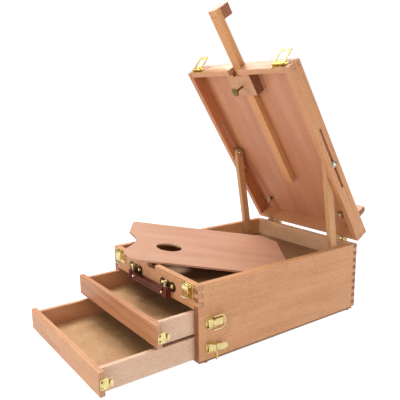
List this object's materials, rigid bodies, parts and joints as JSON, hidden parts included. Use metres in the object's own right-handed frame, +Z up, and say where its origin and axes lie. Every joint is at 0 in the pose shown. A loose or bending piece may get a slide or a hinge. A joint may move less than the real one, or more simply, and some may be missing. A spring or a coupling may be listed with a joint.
{
  "type": "wooden artist easel",
  "caption": "Wooden table easel: a case with two drawers, a hinged lid on sliding struts that carries a canvas mast and ledge, a handle, latches and a loose palette.",
  "frame": {"origin": "centre of the bounding box, on the surface the feet rest on", "axes": "+Z up, -Y towards the user, the way the drawers open, +X to the right of someone facing the drawers"},
  "size_m": [0.3936, 0.61, 0.6095],
  "materials": {
    "beech": "oiled satin",
    "pale_beech": "bare satin",
    "plywood": "satin",
    "hardboard": "matt",
    "brass": "polished plating",
    "dark_brass": "antiqued",
    "leather": "satin",
    "rubber": "matt"
  },
  "bodies": {
    "case": {"case_side_left": "beech", "case_side_right": "beech", "case_front_rail": "beech", "case_back": "beech", "compartment_floor": "hardboard", "bottom_panel": "hardboard", "runner_left": "pale_beech", "runner_right": "pale_beech", "foot_front_left": "rubber", "foot_front_right": "rubber", "foot_back_left": "rubber", "foot_back_right": "rubber", "hinge_left_case_leaf": "brass", "hinge_right_case_leaf": "brass", "handle_plate_left": "dark_brass", "handle_plate_right": "dark_brass", "catch_plate_left": "brass", "catch_plate_right": "brass", "upper_latch_base": "brass", "lower_latch_base": "brass"},
    "lid": {"lid_side_left": "beech", "lid_side_right": "beech", "lid_front_rail": "beech", "lid_hinge_rail": "beech", "lid_panel": "plywood", "mast_guide_block": "pale_beech", "ledge": "beech", "hinge_left_lid_leaf": "brass", "hinge_right_lid_leaf": "brass", "hasp_base_left": "brass", "hasp_base_right": "brass"},
    "mast": {"mast": "pale_beech", "mast_hook": "beech"},
    "thumb_screw": {"mast_thumb_screw": "brass"},
    "ledge_nut_left": {"ledge_wing_nut_left": "brass"},
    "ledge_nut_right": {"ledge_wing_nut_right": "brass"},
    "strut_bolt_left": {"strut_bolt_left": "brass"},
    "strut_left": {"strut_left": "pale_beech"},
    "strut_nut_left": {"strut_wing_nut_left": "brass"},
    "strut_bolt_right": {"strut_bolt_right": "brass"},
    "strut_right": {"strut_right": "pale_beech"},
    "strut_nut_right": {"strut_wing_nut_right": "brass"},
    "upper_drawer": {"upper_drawer_front": "beech", "upper_drawer_box": "pale_beech", "upper_drawer_bottom": "hardboard", "upper_hook_plate": "brass"},
    "lower_drawer": {"lower_drawer_front": "beech", "lower_drawer_box": "pale_beech", "lower_drawer_bottom": "hardboard", "lower_hook_plate": "brass"},
    "palette": {"palette": "plywood"},
    "handle": {"handle_grip": "leather"},
    "catch_lever_left": {"catch_lever_left": "brass"},
    "catch_lever_right": {"catch_lever_right": "brass"},
    "hasp_loop_left": {"hasp_loop_left": "brass"},
    "hasp_loop_right": {"hasp_loop_right": "brass"},
    "upper_latch_lever": {"upper_latch_lever": "brass"},
    "upper_latch_loop": {"upper_latch_loop": "brass"},
    "lower_latch_lever": {"lower_latch_lever": "brass"},
    "lower_latch_loop": {"lower_latch_loop": "brass"}
  },
  "joints": [
    {"name": "lid_hinge", "type": "hinge", "parent": "case", "child": "lid", "pos_m": [0.01789, 0.28139, 0.1429], "axis": [-1, 0, 0], "range_deg": [-50, 36.5]},
    {"name": "mast_slide", "type": "slide", "parent": "lid", "child": "mast", "axis": [0, -0.5225, 0.8526], "range_m": [-0.09, 0.2]},
    {"name": "thumb_screw_turn", "type": "hinge", "parent": "lid", "child": "thumb_screw", "pos_m": [0.01789, 0.09015, 0.45497], "axis": [0, 0.8526, 0.5225], "continuous": true},
    {"name": "ledge_nut_left_turn", "type": "hinge", "parent": "lid", "child": "ledge_nut_left", "pos_m": [-0.08911, 0.27232, 0.19598], "axis": [0, 0.8526, 0.5225], "continuous": true},
    {"name": "ledge_nut_right_turn", "type": "hinge", "parent": "lid", "child": "ledge_nut_right", "pos_m": [0.12489, 0.27232, 0.19598], "axis": [0, 0.8526, 0.5225], "continuous": true},
    {"name": "strut_bolt_left_slide", "type": "slide", "parent": "lid", "child": "strut_bolt_left", "axis": [0, -0.5225, 0.8526], "range_m": [-0.047, 0.067]},
    {"name": "strut_left_pivot", "type": "hinge", "parent": "strut_bolt_left", "child": "strut_left", "pos_m": [-0.11411, 0.19533, 0.313], "axis": [-1, 0, 0], "range_deg": [-8, 6]},
    {"name": "strut_nut_left_turn", "type": "hinge", "parent": "strut_bolt_left", "child": "strut_nut_left", "pos_m": [-0.10611, 0.19533, 0.313], "axis": [1, 0, 0], "continuous": true},
    {"name": "strut_bolt_right_slide", "type": "slide", "parent": "lid", "child": "strut_bolt_right", "axis": [0, -0.5225, 0.8526], "range_m": [-0.047, 0.067]},
    {"name": "strut_right_pivot", "type": "hinge", "parent": "strut_bolt_right", "child": "strut_right", "pos_m": [0.14989, 0.19533, 0.313], "axis": [-1, 0, 0], "range_deg": [-8, 6]},
    {"name": "strut_nut_right_turn", "type": "hinge", "parent": "strut_bolt_right", "child": "strut_nut_right", "pos_m": [0.14189, 0.19533, 0.313], "axis": [1, 0, 0], "continuous": true},
    {"name": "upper_drawer_slide", "type": "slide", "parent": "case", "child": "upper_drawer", "axis": [0, -1, 0], "range_m": [-0.07, 0.18]},
    {"name": "lower_drawer_slide", "type": "slide", "parent": "case", "child": "lower_drawer", "axis": [0, -1, 0], "range_m": [-0.172, 0.08]},
    {"name": "palette_lift", "type": "slide", "parent": "case", "child": "palette", "axis": [0, -0.8, 0.6], "range_m": [0, 0.25]},
    {"name": "handle_swing", "type": "hinge", "parent": "case", "child": "handle", "pos_m": [0.01789, -0.12671, 0.1151], "axis": [-1, 0, 0], "range_deg": [0, 90]},
    {"name": "catch_lever_left_turn", "type": "hinge", "parent": "case", "child": "catch_lever_left", "pos_m": [-0.10311, -0.12721, 0.1369], "axis": [-1, 0, 0], "range_deg": [0, 100]},
    {"name": "catch_lever_right_turn", "type": "hinge", "parent": "case", "child": "catch_lever_right", "pos_m": [0.13889, -0.12721, 0.1369], "axis": [-1, 0, 0], "range_deg": [0, 100]},
    {"name": "hasp_loop_left_turn", "type": "hinge", "parent": "lid", "child": "hasp_loop_left", "pos_m": [-0.10311, 0.0737, 0.49426], "axis": [1, 0, 0], "range_deg": [-20, 150]},
    {"name": "hasp_loop_right_turn", "type": "hinge", "parent": "lid", "child": "hasp_loop_right", "pos_m": [0.13889, 0.0737, 0.49426], "axis": [1, 0, 0], "range_deg": [-20, 150]},
    {"name": "upper_latch_lever_turn", "type": "hinge", "parent": "case", "child": "upper_latch_lever", "pos_m": [0.17149, -0.10301, 0.0725], "axis": [0, 0, 1], "range_deg": [-100, 0]},
    {"name": "upper_latch_loop_turn", "type": "hinge", "parent": "upper_latch_lever", "child": "upper_latch_loop", "pos_m": [0.17439, -0.09451, 0.0725], "axis": [0, 0, -1], "range_deg": [0, 170]},
    {"name": "lower_latch_lever_turn", "type": "hinge", "parent": "case", "child": "lower_latch_lever", "pos_m": [0.17149, -0.10301, 0.0285], "axis": [0, 0, 1], "range_deg": [-88, 12]},
    {"name": "lower_latch_loop_turn", "type": "hinge", "parent": "lower_latch_lever", "child": "lower_latch_loop", "pos_m": [0.17609, -0.0953, 0.0285], "axis": [0, 0, -1], "range_deg": [-106, 64]}
  ],
  "couplings": [
    {"joint": "strut_bolt_left_slide", "follows": "lid_hinge", "m_per_rad": -0.0725},
    {"joint": "strut_left_pivot", "follows": "lid_hinge", "ratio": 0.145},
    {"joint": "strut_bolt_right_slide", "follows": "lid_hinge", "m_per_rad": -0.0725},
    {"joint": "strut_right_pivot", "follows": "lid_hinge", "ratio": 0.145}
  ]
}
